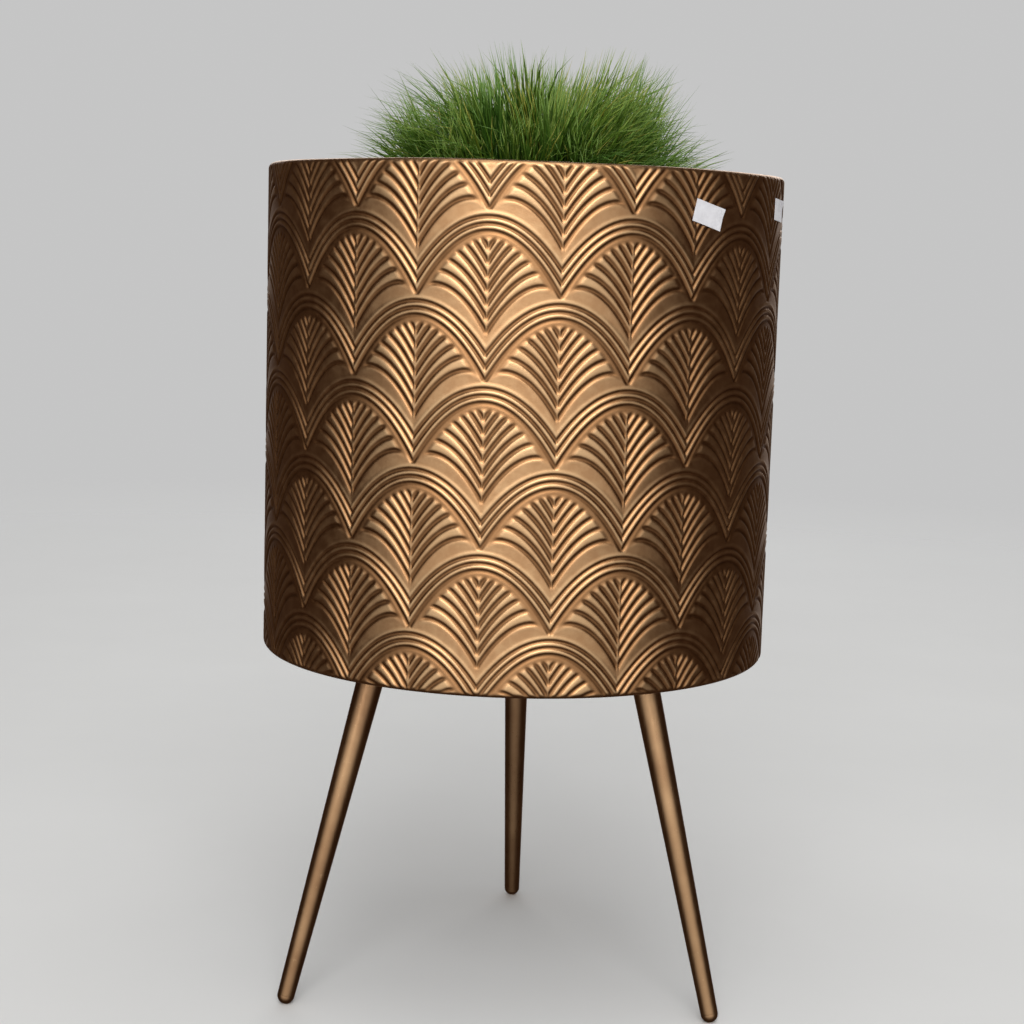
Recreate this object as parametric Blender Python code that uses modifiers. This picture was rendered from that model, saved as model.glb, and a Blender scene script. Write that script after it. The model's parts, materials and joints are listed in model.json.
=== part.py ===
"""Brass planter pot on three splayed legs, with a lift-out potted grass.

Metres, +Z up. The origin is on the floor under the centre of the pot, and the front faces -Y.
The rolled sheet wall has a wired rim and an inward hem. A pan rests on the hem. Three riveted
mounts under the pan take the studs of three tapered tube legs. A nursery pot stands in the pan.
"""

import math

import bmesh
import bpy
from mathutils import Matrix, Vector

# Fits
GAP = 0.0003
MERGE = 0.00005

# Pot wall
POT_RADIUS = 0.1496
POT_HEIGHT = 0.282
LEG_HEIGHT = 0.206
SHEET = 0.0008
HEM_BEND_RADIUS = 0.003
HEM_WIDTH = 0.009
WIRE_RADIUS = 0.0014
CURL_ANGLE = math.radians(240)

# Pan in the foot of the pot
PAN_SHEET = 0.0012
PAN_SKIRT = 0.010

# Legs, measured along each leg's own axis from the centre of its foot. The insets are from the wall
LEG_SIDES = {"left": math.radians(-150), "right": math.radians(-30), "back": math.radians(90)}
LEG_TOP_INSET = 0.0603
FOOT_INSET = 0.0059
LEG_TOP_RADIUS = 0.0080
LEG_FOOT_RADIUS = 0.0051
LEG_WALL = 0.0012
FOOT_STEM = 0.012
FOOT_FLAT_DEPTH = 0.0004
STUD_RADIUS = 0.004
INSERT_LENGTH = 0.018
INSERT_FLOOR = 0.003
WASHER_RIM = 0.0032
WASHER_THICKNESS = 0.0018

# Leg mounts and their rivets
MOUNT_FLANGE = 0.0125
MOUNT_SHEET = 0.0016
BOSS_WALL = 0.0055
BOSS_DROP = 0.010
RIVET_EDGE = 0.0019
RIVET_ANGLES = (math.radians(60), math.radians(180), math.radians(300))
RIVET_RADIUS = 0.002
RIVET_HEAD_OVERHANG = 0.0016
RIVET_HEAD_HEIGHT = 0.0013
RIVET_CROWN_OVERHANG = 0.0005
RIVET_CROWN_HEIGHT = 0.0010
RIVET_TAIL_OVERHANG = 0.0009

# Blank paper labels: bearing round the pot, height of the centre below the rim, tilt
LABEL_WIDTH = 0.0215
LABEL_HEIGHT = 0.012
LABEL_SHEET = 0.00015
LABEL_STANDOFF = 0.0007
LABELS = {
    "price_label_front": (math.radians(-47.6), 0.0240, math.radians(-14)),
    "price_label_side": (math.radians(-15.8), 0.0190, math.radians(-3)),
}

# Nursery pot, with room for fingers beside it, and growing medium
LINER_SHEET = 0.0012
FINGER_GAP = 0.0238
LINER_BELOW_RIM = 0.0344
LINER_LIP_WIDTH = 0.006
LINER_LIP_DROP = 0.012
LINER_TAPER = 0.021
LINER_RING_WIDTH = 0.010
LINER_RING_HEIGHT = 0.004
LINER_RING_CLEAR_OF_MOUNT = 0.0073
DRAIN_INSET = 0.020
DRAIN_RADIUS = 0.005
DRAIN_COUNT = 6
SOIL_BELOW_LIP = 0.012

# Grass, with its insets from the nursery pot and from the wall
GRASS_BASE_INSET = 0.037
GRASS_RIM_INSET = 0.0438
GRASS_WIDEST_INSET = 0.0358
GRASS_WIDEST_ABOVE_RIM = 0.020
GRASS_ABOVE_RIM = 0.071

# Facets round a turned shape, and pieces along its rounded corners
RING_STEPS = 64
LINER_STEPS = 40
MOUNT_STEPS = 32
SMALL_STEPS = 18
STUD_STEPS = 16
RIVET_STEPS = 12
CURL_PIECES = 6
HEM_PIECES = 3
DOME_PIECES = 5
SHARP_ANGLE = math.radians(35)

# Reach of the cutters past what they cut
CUTTER_REACH = 0.05

# Heights and radii that follow from the sizes above
RIM_Z = LEG_HEIGHT + POT_HEIGHT
WALL_MID = POT_RADIUS - SHEET / 2
WALL_INNER = POT_RADIUS - SHEET
CURL_MID = WIRE_RADIUS + GAP + SHEET / 2
CURL_CENTRE = (WALL_MID - CURL_MID, RIM_Z - CURL_MID - SHEET / 2)
HEM_MID = HEM_BEND_RADIUS - SHEET / 2
PAN_UNDERSIDE = LEG_HEIGHT + SHEET + GAP
PAN_TOP = PAN_UNDERSIDE + PAN_SHEET
MOUNT_TOP = PAN_UNDERSIDE - GAP
MOUNT_UNDERSIDE = MOUNT_TOP - MOUNT_SHEET
BOSS_RADIUS = STUD_RADIUS + BOSS_WALL
MOUNT_RADIUS = BOSS_RADIUS + MOUNT_FLANGE
WASHER_RADIUS = STUD_RADIUS + WASHER_RIM
RIVET_HEAD_RADIUS = RIVET_RADIUS + RIVET_HEAD_OVERHANG
RIVET_CIRCLE = MOUNT_RADIUS - RIVET_EDGE - RIVET_HEAD_RADIUS
LEG_TOP_SPREAD = POT_RADIUS - LEG_TOP_INSET
FOOT_SPREAD = POT_RADIUS - FOOT_INSET
FOOT_CENTRE_Z = LEG_FOOT_RADIUS - FOOT_FLAT_DEPTH
SPLAY = math.atan2(FOOT_SPREAD - LEG_TOP_SPREAD, LEG_HEIGHT - FOOT_CENTRE_Z)
BOSS_END = (MOUNT_UNDERSIDE - FOOT_CENTRE_Z) / math.cos(SPLAY) - BOSS_DROP
LEG_TOP = BOSS_END - 2 * GAP - WASHER_THICKNESS
LINER_UNDERSIDE = PAN_TOP + GAP
LINER_TOP = RIM_Z - LINER_BELOW_RIM
LINER_HEIGHT = LINER_TOP - LINER_UNDERSIDE
LINER_LIP_RADIUS = WALL_INNER - FINGER_GAP
LINER_TOP_RADIUS = LINER_LIP_RADIUS - LINER_LIP_WIDTH
LINER_BASE_RADIUS = LINER_TOP_RADIUS - LINER_TAPER
LINER_RING_RADIUS = LEG_TOP_SPREAD - MOUNT_RADIUS - LINER_RING_CLEAR_OF_MOUNT
DRAIN_CIRCLE = LINER_BASE_RADIUS - DRAIN_INSET
SOIL_TOP = LINER_TOP - SOIL_BELOW_LIP
GRASS_BASE_RADIUS = LINER_TOP_RADIUS - GRASS_BASE_INSET
GRASS_RIM_RADIUS = WALL_INNER - GRASS_RIM_INSET
GRASS_WIDEST_RADIUS = WALL_INNER - GRASS_WIDEST_INSET


def clear_scene():
    for obj in list(bpy.data.objects):
        bpy.data.objects.remove(obj, do_unlink=True)


def new_collection(name):
    collection = bpy.data.collections.new(name)
    bpy.context.scene.collection.children.link(collection)
    return collection


def material(name, colour, roughness, metallic):
    made = bpy.data.materials.new(name)
    made.use_nodes = True
    shader = made.node_tree.nodes["Principled BSDF"]
    shader.inputs["Base Color"].default_value = (*colour, 1.0)
    shader.inputs["Roughness"].default_value = roughness
    shader.inputs["Metallic"].default_value = metallic
    return made


def add_object(name, mesh, skin, parent=None):
    """A part in the model's collection, wearing its own material and standing on its parent."""
    obj = bpy.data.objects.new(name, mesh)
    PARTS.objects.link(obj)
    if skin is not None:
        obj.data.materials.append(skin)
    if parent is not None:
        obj.parent = parent
    return obj


def smooth(obj):
    obj.data.shade_smooth()
    obj.data.set_sharp_from_angle(angle=SHARP_ANGLE)


def arc(centre, radius, start, end, pieces):
    """Points on an arc in the radius and height plane."""
    turns = [start + (end - start) * i / pieces for i in range(pieces + 1)]
    return [(centre[0] + radius * math.cos(t), centre[1] + radius * math.sin(t)) for t in turns]


def turned(name, outline, skin, steps, closed=False, thickness=0.0, parent=None):
    """Turns an outline of (radius, height) points about Z. The outline runs down its outer side."""
    mesh = bpy.data.meshes.new(name)
    points = [(radius, 0.0, height) for radius, height in outline]
    edges = [(i, i + 1) for i in range(len(points) - 1)]
    if closed:
        edges.append((len(points) - 1, 0))
    mesh.from_pydata(points, edges, [])
    obj = add_object(name, mesh, skin, parent)
    screw = obj.modifiers.new("Turn", "SCREW")
    screw.steps = steps
    screw.render_steps = steps
    screw.use_merge_vertices = True
    screw.merge_threshold = MERGE
    screw.use_smooth_shade = True
    if thickness:
        wall = obj.modifiers.new("Sheet", "SOLIDIFY")
        wall.thickness = thickness
        wall.offset = 0.0
        wall.use_even_offset = True
    return obj


def as_cutter(obj):
    PARTS.objects.unlink(obj)
    CUTTERS.objects.link(obj)
    obj.hide_render = True
    obj.display_type = "WIRE"
    return obj


def cylinder(name, radius, low, high, skin, steps, parent=None):
    mesh = bpy.data.meshes.new(name)
    body = bmesh.new()
    bmesh.ops.create_cone(
        body, cap_ends=True, segments=steps, radius1=radius, radius2=radius, depth=high - low
    )
    bmesh.ops.translate(body, verts=body.verts, vec=(0.0, 0.0, (high + low) / 2))
    body.to_mesh(mesh)
    body.free()
    return add_object(name, mesh, skin, parent)


def box_cutter(name, half_width, low, high):
    mesh = bpy.data.meshes.new(name)
    body = bmesh.new()
    bmesh.ops.create_cube(body, size=1.0)
    bmesh.ops.scale(body, verts=body.verts, vec=(2 * half_width, 2 * half_width, high - low))
    bmesh.ops.translate(body, verts=body.verts, vec=(0.0, 0.0, (high + low) / 2))
    body.to_mesh(mesh)
    body.free()
    return as_cutter(add_object(name, mesh, None))


def hole_cutter(name, centres, radius, low, high):
    """Upright cylinders at the given centres, as one cutter."""
    mesh = bpy.data.meshes.new(name)
    body = bmesh.new()
    for x, y in centres:
        place = Matrix.Translation((x, y, (high + low) / 2))
        bmesh.ops.create_cone(
            body,
            cap_ends=True,
            segments=RIVET_STEPS,
            radius1=radius,
            radius2=radius,
            depth=high - low,
            matrix=place,
        )
    body.to_mesh(mesh)
    body.free()
    return as_cutter(add_object(name, mesh, None))


def boolean(obj, other, operation):
    cut = obj.modifiers.new(operation.title(), "BOOLEAN")
    cut.operation = operation
    cut.object = other


def leg_frame(side, bearing):
    """An empty at the centre of a foot, its Z axis up along the leg."""
    frame = bpy.data.objects.new(f"leg_axis_{side}", None)
    PARTS.objects.link(frame)
    frame.location = (
        FOOT_SPREAD * math.cos(bearing),
        FOOT_SPREAD * math.sin(bearing),
        FOOT_CENTRE_Z,
    )
    frame.rotation_euler = (0.0, -SPLAY, bearing)
    return frame


def leg_radius(along):
    """Outer radius of the tapered leg tube at a distance along its axis."""
    return LEG_FOOT_RADIUS + (LEG_TOP_RADIUS - LEG_FOOT_RADIUS) * along / LEG_TOP


def mount_centre(bearing):
    """Where the leg's axis passes through the underside of its mount."""
    radius = FOOT_SPREAD - math.tan(SPLAY) * (MOUNT_UNDERSIDE - FOOT_CENTRE_Z)
    return Vector((radius * math.cos(bearing), radius * math.sin(bearing), 0.0))


def rivet_centres(bearing):
    centre = mount_centre(bearing)
    turns = [bearing + angle for angle in RIVET_ANGLES]
    return [
        (centre.x + RIVET_CIRCLE * math.cos(t), centre.y + RIVET_CIRCLE * math.sin(t))
        for t in turns
    ]


def planter_shell():
    """Wall, with its rim curled inwards over the wire and its foot turned in as a hem."""
    curl = arc(CURL_CENTRE, CURL_MID, CURL_ANGLE, 0.0, CURL_PIECES)
    hem_centre = (WALL_MID - HEM_MID, LEG_HEIGHT + SHEET / 2 + HEM_MID)
    hem = arc(hem_centre, HEM_MID, 0.0, -math.pi / 2, HEM_PIECES)
    edge = [(POT_RADIUS - HEM_WIDTH, LEG_HEIGHT + SHEET / 2)]
    skin = material("embossed_brass", (0.36, 0.20, 0.085), 0.34, 1.0)
    turned("planter_shell", curl + hem + edge, skin, RING_STEPS, thickness=SHEET)


def rim_wire():
    skin = material("steel_wire", (0.42, 0.41, 0.40), 0.4, 1.0)
    ring = arc(CURL_CENTRE, WIRE_RADIUS, 0.0, -2 * math.pi, CURL_PIECES)[:-1]
    turned("rim_wire", ring, skin, RING_STEPS, closed=True)


def base_pan(cutters):
    """Floor of the pot, a shallow pan nested in the hem."""
    skirt = WALL_INNER - GAP - PAN_SHEET / 2
    bend = HEM_BEND_RADIUS - SHEET - GAP - PAN_SHEET / 2
    floor = PAN_UNDERSIDE + PAN_SHEET / 2
    side = [(skirt, PAN_TOP + PAN_SKIRT)]
    corner = arc((skirt - bend, floor + bend), bend, 0.0, -math.pi / 2, HEM_PIECES)
    skin = material("pan_brass", (0.33, 0.20, 0.095), 0.42, 1.0)
    pan = turned("base_pan", side + corner + [(0.0, floor)], skin, RING_STEPS, thickness=PAN_SHEET)
    for cutter in cutters:
        boolean(pan, cutter, "DIFFERENCE")


def rivet_holes(side, bearing):
    radius = RIVET_RADIUS + GAP
    low = MOUNT_UNDERSIDE - MOUNT_SHEET
    high = PAN_TOP + PAN_SHEET
    return hole_cutter(f"rivet_holes_{side}", rivet_centres(bearing), radius, low, high)


def leg_mount(side, bearing, frame, holes, above):
    """Round plate under the pan, with a boss square to the leg and bored for its stud."""
    skin = material(f"mount_steel_{side}", (0.30, 0.21, 0.12), 0.45, 1.0)
    mount = cylinder(f"leg_mount_{side}", MOUNT_RADIUS, 0.0, MOUNT_SHEET, skin, MOUNT_STEPS)
    mount.location = mount_centre(bearing) + Vector((0.0, 0.0, MOUNT_UNDERSIDE))
    beyond = BOSS_END + BOSS_DROP + BOSS_RADIUS
    boss = cylinder(f"boss_{side}", BOSS_RADIUS, BOSS_END, beyond, None, SMALL_STEPS, frame)
    bore_start = BOSS_END - BOSS_RADIUS
    bore_radius = STUD_RADIUS + GAP
    bore = cylinder(f"stud_bore_{side}", bore_radius, bore_start, beyond, None, STUD_STEPS, frame)
    boolean(mount, as_cutter(boss), "UNION")
    boolean(mount, above, "DIFFERENCE")
    boolean(mount, as_cutter(bore), "DIFFERENCE")
    boolean(mount, holes, "DIFFERENCE")


def mount_rivets(side, bearing):
    """Domed head under the mount, shank through mount and pan, and a set tail above the pan."""
    skin = material(f"rivet_brass_{side}", (0.50, 0.36, 0.18), 0.35, 1.0)
    head = MOUNT_UNDERSIDE - GAP
    tail = PAN_TOP + GAP
    outline = [
        (0.0, tail + RIVET_HEAD_HEIGHT),
        (RIVET_RADIUS, tail + RIVET_HEAD_HEIGHT),
        (RIVET_RADIUS + RIVET_TAIL_OVERHANG, tail),
        (RIVET_RADIUS, tail),
        (RIVET_RADIUS, head),
        (RIVET_HEAD_RADIUS, head),
        (RIVET_RADIUS + RIVET_CROWN_OVERHANG, head - RIVET_CROWN_HEIGHT),
        (0.0, head - RIVET_HEAD_HEIGHT),
    ]
    for number, (x, y) in enumerate(rivet_centres(bearing), start=1):
        rivet = turned(f"mount_rivet_{side}_{number}", outline, skin, RIVET_STEPS)
        rivet.location = (x, y, 0.0)


def leg_tube(side, frame):
    low = GAP
    outline = [
        (leg_radius(LEG_TOP), LEG_TOP),
        (leg_radius(low), low),
        (leg_radius(low) - LEG_WALL, low),
        (leg_radius(LEG_TOP) - LEG_WALL, LEG_TOP),
    ]
    skin = material(f"leg_bronze_{side}", (0.27, 0.155, 0.075), 0.32, 1.0)
    turned(f"leg_tube_{side}", outline, skin, SMALL_STEPS, closed=True, parent=frame)


def foot_tip(side, frame, floor):
    """Domed plug in the end of the tube, with a small flat ground on it where it stands."""
    stem = leg_radius(0.0) - LEG_WALL - GAP
    dome = arc((0.0, 0.0), LEG_FOOT_RADIUS, 0.0, -math.pi / 2, DOME_PIECES)[:-1]
    outline = [(0.0, FOOT_STEM), (stem, FOOT_STEM), (stem, 0.0)] + dome
    outline.append((0.0, -LEG_FOOT_RADIUS))
    skin = material(f"foot_bronze_{side}", (0.25, 0.14, 0.065), 0.38, 1.0)
    tip = turned(f"foot_tip_{side}", outline, skin, SMALL_STEPS, parent=frame)
    boolean(tip, floor, "DIFFERENCE")


def leg_insert(side, frame):
    """Plug in the head of the tube, bored for the stud."""
    low = LEG_TOP - INSERT_LENGTH
    bore = STUD_RADIUS + GAP
    outline = [
        (0.0, low + INSERT_FLOOR),
        (bore, low + INSERT_FLOOR),
        (bore, LEG_TOP),
        (leg_radius(LEG_TOP) - LEG_WALL - GAP, LEG_TOP),
        (leg_radius(low) - LEG_WALL - GAP, low),
        (0.0, low),
    ]
    skin = material(f"insert_steel_{side}", (0.46, 0.45, 0.43), 0.4, 1.0)
    turned(f"leg_insert_{side}", outline, skin, SMALL_STEPS, parent=frame)


def leg_stud(side, frame):
    low = LEG_TOP - INSERT_LENGTH + INSERT_FLOOR + GAP
    high = BOSS_END + BOSS_DROP - STUD_RADIUS * math.tan(SPLAY)
    skin = material(f"stud_zinc_{side}", (0.60, 0.60, 0.58), 0.3, 1.0)
    cylinder(f"leg_stud_{side}", STUD_RADIUS, low, high, skin, STUD_STEPS, frame)


def lock_washer(side, frame):
    low = LEG_TOP + GAP
    high = low + WASHER_THICKNESS
    bore = STUD_RADIUS + GAP
    outline = [(WASHER_RADIUS, high), (WASHER_RADIUS, low), (bore, low), (bore, high)]
    skin = material(f"washer_zinc_{side}", (0.58, 0.57, 0.55), 0.35, 1.0)
    turned(f"lock_washer_{side}", outline, skin, SMALL_STEPS, closed=True, parent=frame)


def price_label(name, bearing, below_rim, tilt):
    """Blank paper label, wrapped round the wall and standing clear of it."""
    mesh = bpy.data.meshes.new(name)
    body = bmesh.new()
    bmesh.ops.create_grid(body, x_segments=6, y_segments=3, size=0.5)
    bmesh.ops.scale(body, verts=body.verts, vec=(LABEL_WIDTH, LABEL_HEIGHT, 1.0))
    bmesh.ops.rotate(body, verts=body.verts, matrix=Matrix.Rotation(tilt, 3, "Z"))
    radius = POT_RADIUS + LABEL_STANDOFF
    for vert in body.verts:
        turn = vert.co.x / radius
        vert.co = Vector((radius * math.cos(turn), radius * math.sin(turn), vert.co.y))
    body.to_mesh(mesh)
    body.free()
    label = add_object(name, mesh, material(name, (0.86, 0.85, 0.84), 0.6, 0.0))
    label.location = (0.0, 0.0, RIM_Z - below_rim)
    label.rotation_euler = (0.0, 0.0, bearing)
    sheet = label.modifiers.new("Sheet", "SOLIDIFY")
    sheet.thickness = LABEL_SHEET
    sheet.offset = 0.0


def liner_radius(height):
    """Mid-sheet radius of the nursery pot's tapering wall at a height."""
    share = (height - LINER_UNDERSIDE) / LINER_HEIGHT
    outer = LINER_BASE_RADIUS + (LINER_TOP_RADIUS - LINER_BASE_RADIUS) * share
    return outer - LINER_SHEET / 2


def liner_floor():
    """Mid-sheet height of the nursery pot's raised floor."""
    return LINER_UNDERSIDE + LINER_RING_HEIGHT + LINER_SHEET / 2


def nursery_pot():
    """Thin plastic pot with a turned-down lip, a standing ring and drain holes."""
    half = LINER_SHEET / 2
    top = LINER_TOP - half
    floor = liner_floor()
    outer_ring = LINER_RING_RADIUS
    inner_ring = LINER_RING_RADIUS - LINER_RING_WIDTH
    outline = [
        (LINER_LIP_RADIUS - half, LINER_TOP - LINER_LIP_DROP),
        (LINER_LIP_RADIUS - half, top),
        (liner_radius(top), top),
        (liner_radius(floor), floor),
        (outer_ring, floor),
        (outer_ring, LINER_UNDERSIDE + half),
        (inner_ring, LINER_UNDERSIDE + half),
        (inner_ring, floor),
        (0.0, floor),
    ]
    skin = material("nursery_plastic", (0.025, 0.026, 0.027), 0.5, 0.0)
    pot = turned("nursery_pot", outline, skin, LINER_STEPS, thickness=LINER_SHEET)
    turns = [2 * math.pi * i / DRAIN_COUNT for i in range(DRAIN_COUNT)]
    centres = [(DRAIN_CIRCLE * math.cos(t), DRAIN_CIRCLE * math.sin(t)) for t in turns]
    low = LINER_UNDERSIDE
    high = floor + LINER_SHEET
    boolean(pot, hole_cutter("drain_holes", centres, DRAIN_RADIUS, low, high), "DIFFERENCE")


def growing_medium():
    low = liner_floor() + LINER_SHEET / 2 + GAP
    inset = LINER_SHEET / 2 + 2 * GAP
    outline = [
        (0.0, SOIL_TOP),
        (liner_radius(SOIL_TOP) - inset, SOIL_TOP),
        (liner_radius(low) - inset, low),
        (0.0, low),
    ]
    skin = material("growing_medium", (0.035, 0.022, 0.014), 0.95, 0.0)
    turned("growing_medium", outline, skin, LINER_STEPS)


def grass_tuft():
    """Outer shape of the grass, from the growing medium up past the rim."""
    low = SOIL_TOP + GAP
    widest = RIM_Z + GRASS_WIDEST_ABOVE_RIM
    crown = GRASS_ABOVE_RIM - GRASS_WIDEST_ABOVE_RIM
    turns = [math.pi / 2 * i / DOME_PIECES for i in range(DOME_PIECES, -1, -1)]
    dome = [(GRASS_WIDEST_RADIUS * math.cos(t), widest + crown * math.sin(t)) for t in turns]
    dome[0] = (0.0, widest + crown)
    foot = [(GRASS_RIM_RADIUS, RIM_Z), (GRASS_BASE_RADIUS, low), (0.0, low)]
    skin = material("grass_green", (0.10, 0.22, 0.05), 0.6, 0.0)
    turned("grass_tuft", dome + foot, skin, LINER_STEPS)


def build():
    planter_shell()
    rim_wire()
    floor = box_cutter("floor", 2 * POT_RADIUS, -CUTTER_REACH, 0.0)
    above = box_cutter("above_mounts", 2 * POT_RADIUS, MOUNT_TOP, MOUNT_TOP + CUTTER_REACH)
    holes = {side: rivet_holes(side, bearing) for side, bearing in LEG_SIDES.items()}
    base_pan(holes.values())
    for side, bearing in LEG_SIDES.items():
        frame = leg_frame(side, bearing)
        leg_mount(side, bearing, frame, holes[side], above)
        mount_rivets(side, bearing)
        leg_tube(side, frame)
        foot_tip(side, frame, floor)
        leg_insert(side, frame)
        leg_stud(side, frame)
        lock_washer(side, frame)
    for name, (bearing, below_rim, tilt) in LABELS.items():
        price_label(name, bearing, below_rim, tilt)
    nursery_pot()
    growing_medium()
    grass_tuft()


clear_scene()
PARTS = new_collection("brass_planter_pot")
CUTTERS = new_collection("cutters")
build()
for part in PARTS.objects:
    if part.type == "MESH":
        smooth(part)
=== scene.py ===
"""Looks of the brass planter pot: embossed wall, smooth fittings, grass, stage, light and camera.

Metres, +Z up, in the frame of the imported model. Bearings are measured about +Z from +X.
"""

import json
import math

import bmesh
import bpy
import numpy as np
from mathutils import Euler, Matrix, Vector, noise


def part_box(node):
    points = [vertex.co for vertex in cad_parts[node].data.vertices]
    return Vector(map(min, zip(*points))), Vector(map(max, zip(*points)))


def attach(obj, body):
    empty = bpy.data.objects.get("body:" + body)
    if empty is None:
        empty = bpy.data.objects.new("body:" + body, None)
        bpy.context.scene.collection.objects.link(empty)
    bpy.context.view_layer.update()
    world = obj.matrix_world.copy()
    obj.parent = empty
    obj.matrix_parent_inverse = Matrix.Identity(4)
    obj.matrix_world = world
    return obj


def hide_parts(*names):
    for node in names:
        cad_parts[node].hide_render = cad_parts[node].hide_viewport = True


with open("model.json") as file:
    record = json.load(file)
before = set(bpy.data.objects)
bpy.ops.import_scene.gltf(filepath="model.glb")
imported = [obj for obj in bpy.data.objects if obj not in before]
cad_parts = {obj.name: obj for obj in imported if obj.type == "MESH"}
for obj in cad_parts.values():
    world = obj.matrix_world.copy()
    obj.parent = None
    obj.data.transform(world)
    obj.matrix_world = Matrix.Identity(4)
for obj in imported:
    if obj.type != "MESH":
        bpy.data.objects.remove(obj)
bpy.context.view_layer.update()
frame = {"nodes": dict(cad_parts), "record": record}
NODES = frame["nodes"]


def box_of(node):
    """Lowest and highest corner of a CAD node's box."""
    low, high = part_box(node)
    return Vector(low), Vector(high)


SIDES = ("left", "right", "back")
RIVETS = (1, 2, 3)

# Meshes
SHARP = math.radians(40)
SAME_PLACE = 1e-7
TINY = 1e-6
FILLET_SHARE = 0.45

# Pot, read from the frame
WALL_LOW, WALL_HIGH = box_of("planter_shell")
POT_RADIUS = WALL_HIGH.x
RIM = WALL_HIGH.z
FOOT_OF_WALL = WALL_LOW.z

# Sheet of the wall
SHEET = 0.0008
CURL_RADIUS = 0.0025
CURL_TURN = math.radians(240)
HEM_BEND = 0.003
HEM_WIDTH = 0.009
RIM_WAVE = 0.00022
RIM_WAVE_DROP = 0.03
RIM_WAVES = ((3, 1.0, 0.7), (7, 0.6, 2.0))  # lobes round the rim, share of the wave, phase
RIM_FADE = (0.0007, 0.0030)
HEM_FADE = (-0.0024, 0.0004)

# Grid of the embossed wall
WALL_COLUMNS = 1600
WALL_STEP = 0.0006
INNER_STEP = 0.012
CURL_ROWS = 20
BEND_ROWS = 8
SEAM_BEARING = math.radians(90)
SEAM_LIFT = 0.0005
SEAM_LAP = 0.009
SEAM_BLEND = 0.004
INNER_MAP_SHARE = 0.28
MAP_GAP = 0.01
MAP_EDGE = 0.004

# Embossed pattern: arches in staggered rows, each round a leaf with a spine
FRONT_BEARING = math.radians(-88)
ARCH_PITCH = 0.0767
ARCH_ROW = 0.04425
ARCH_OFFSET = -0.0185
ARCH_CREST = 0.0362
ARCH_BOW = 22.5
ARCH_DEPTH = 0.060
FIRST_ROW = -3
RIB = 0.0037
BORDER_GROOVES = 3
BORDER_EDGE = 0.0110
LEAF_RISE = 1.69
LEAF_DROOP = 29.0
LEAF_FIRST = 0.0090
LEAF_STEP = 0.0072
LEAF_GROOVES = 7
LEAF_MARGIN = 0.0040
LEAF_END = 0.0014
SPINE_HALF = 0.0007
SPINE_SLOPE = 2.0
RIB_PROUD = 0.00045
GROOVE_DEPTH = 0.00095
BAND_DROP = 0.00022
MARGIN_DROP = 0.00050
BORDER_BANK = (0.0001, 0.0012)
LEAF_BANK = (0.0004, 0.0013)
LEAF_CROWN = (0.0004, 0.0026)
CROWN = 0.30
NEWTON_STEPS = 12
NEWTON_FLOOR = 0.2


# ---- meshes


def build_mesh(name, points, quads=(), triangles=()):
    """A mesh from arrays of points, four-sided faces and three-sided faces."""
    quads = np.asarray(quads, dtype=np.int32).reshape(-1, 4)
    triangles = np.asarray(triangles, dtype=np.int32).reshape(-1, 3)
    corners = np.concatenate([quads.ravel(), triangles.ravel()])
    starts = [np.arange(len(quads)) * 4, quads.size + np.arange(len(triangles)) * 3]
    starts = np.concatenate(starts)
    mesh = bpy.data.meshes.new(name)
    mesh.vertices.add(len(points))
    mesh.vertices.foreach_set("co", np.asarray(points, dtype=np.float32).ravel())
    mesh.loops.add(len(corners))
    mesh.loops.foreach_set("vertex_index", corners.astype(np.int32))
    mesh.polygons.add(len(starts))
    mesh.polygons.foreach_set("loop_start", starts.astype(np.int32))
    mesh.update(calc_edges=True)
    return mesh


def new_object(name, data):
    """An object linked to the scene."""
    made = bpy.data.objects.new(name, data)
    bpy.context.scene.collection.objects.link(made)
    return made


def mesh_of(body, name):
    """A mesh from a finished bmesh, which is freed."""
    mesh = bpy.data.meshes.new(name)
    body.to_mesh(mesh)
    body.free()
    return mesh


def evaluated(piece):
    """A piece's mesh with its modifiers applied."""
    graph = bpy.context.evaluated_depsgraph_get()
    return bpy.data.meshes.new_from_object(piece.evaluated_get(graph), depsgraph=graph)


def store_values(mesh, name, values):
    """One number for each point of a mesh, for its material to read."""
    store = mesh.attributes.new(name, "FLOAT", "POINT")
    store.data.foreach_set("value", np.ascontiguousarray(values, dtype=np.float32).ravel())


def add_piece(name, mesh, body, slot, *nodes, hard_edges=False):
    """A visible piece that rides on a body and stands for its CAD nodes."""
    piece = new_object(name, mesh)
    mesh.materials.clear()
    mesh.materials.append(SKINS[slot])
    mesh.shade_smooth()
    if hard_edges:
        mesh.set_sharp_from_angle(angle=SHARP)
    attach(piece, body)
    if nodes:
        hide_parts(*nodes)
    return piece


def ring_quads(rows, columns, close_rows):
    """Faces of a grid that closes round its columns, and over its rows if it is a loop."""
    row = np.arange(rows if close_rows else rows - 1)[:, None]
    column = np.arange(columns)[None, :]
    after = (row + 1) % rows
    beside = (column + 1) % columns
    faces = [row * columns + column, row * columns + beside, after * columns + beside]
    faces.append(after * columns + column)
    return np.stack(np.broadcast_arrays(*faces), axis=-1).reshape(-1, 4)


def arc(centre, radius, start, end, pieces):
    """Points on an arc in the radius and height plane."""
    turns = np.linspace(start, end, pieces + 1)
    return [(centre[0] + radius * math.cos(t), centre[1] + radius * math.sin(t)) for t in turns]


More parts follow.
